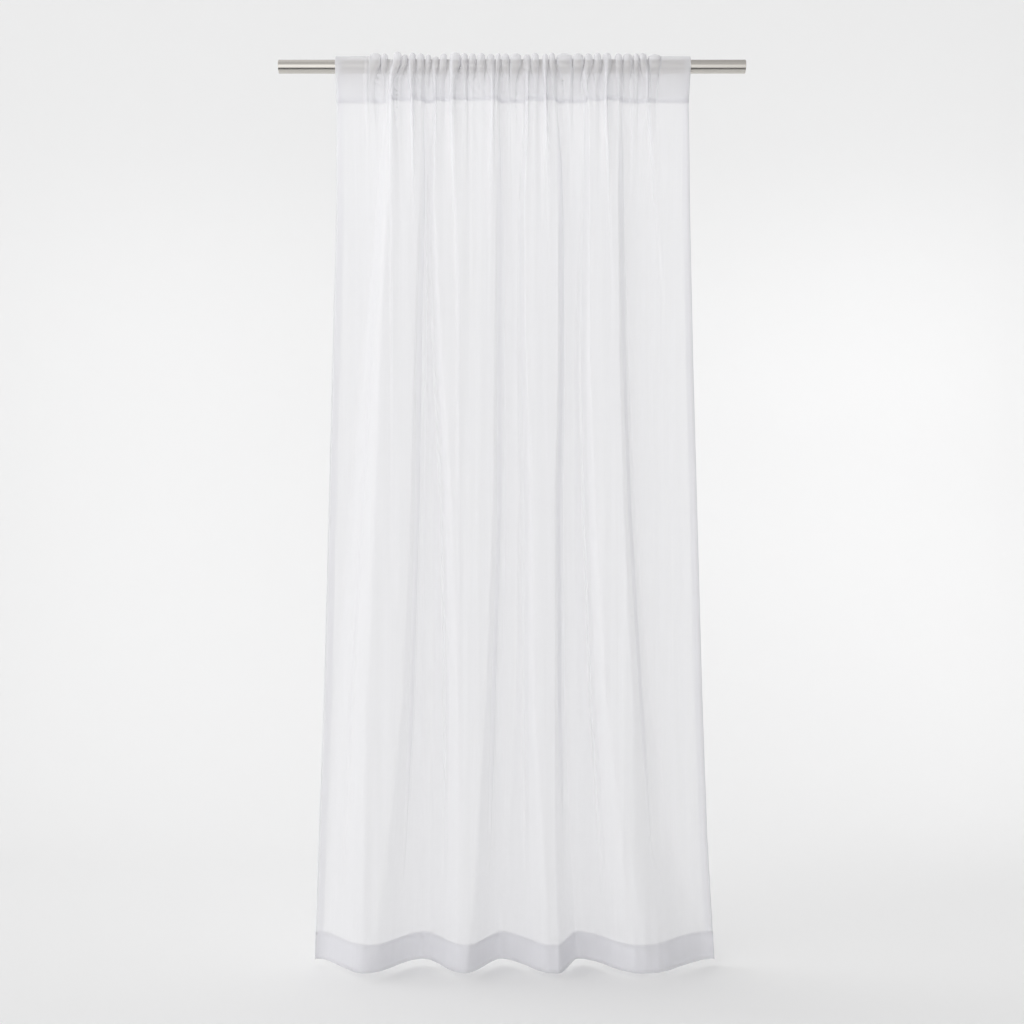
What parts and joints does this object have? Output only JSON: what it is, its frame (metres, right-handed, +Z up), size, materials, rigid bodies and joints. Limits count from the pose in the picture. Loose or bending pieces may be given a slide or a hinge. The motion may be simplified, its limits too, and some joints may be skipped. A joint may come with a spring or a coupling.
{
  "type": "sheer voile curtain on its curtain rod",
  "caption": "Sheer voile curtain gathered by its top hem on a plain round curtain rod, hanging in soft uneven folds to a deep bottom hem.",
  "frame": {"origin": "middle of the rod's axis", "axes": "+X along the rod to the right as seen from the front, +Y away from the viewer, +Z up"},
  "size_m": [1.226, 0.107, 2.4032],
  "materials": {
    "voile": "sheer plain weave with a slight slub",
    "rod_metal": "satin brushed"
  },
  "bodies": {
    "root": {"curtain": "voile", "rod": "rod_metal"}
  },
  "joints": []
}
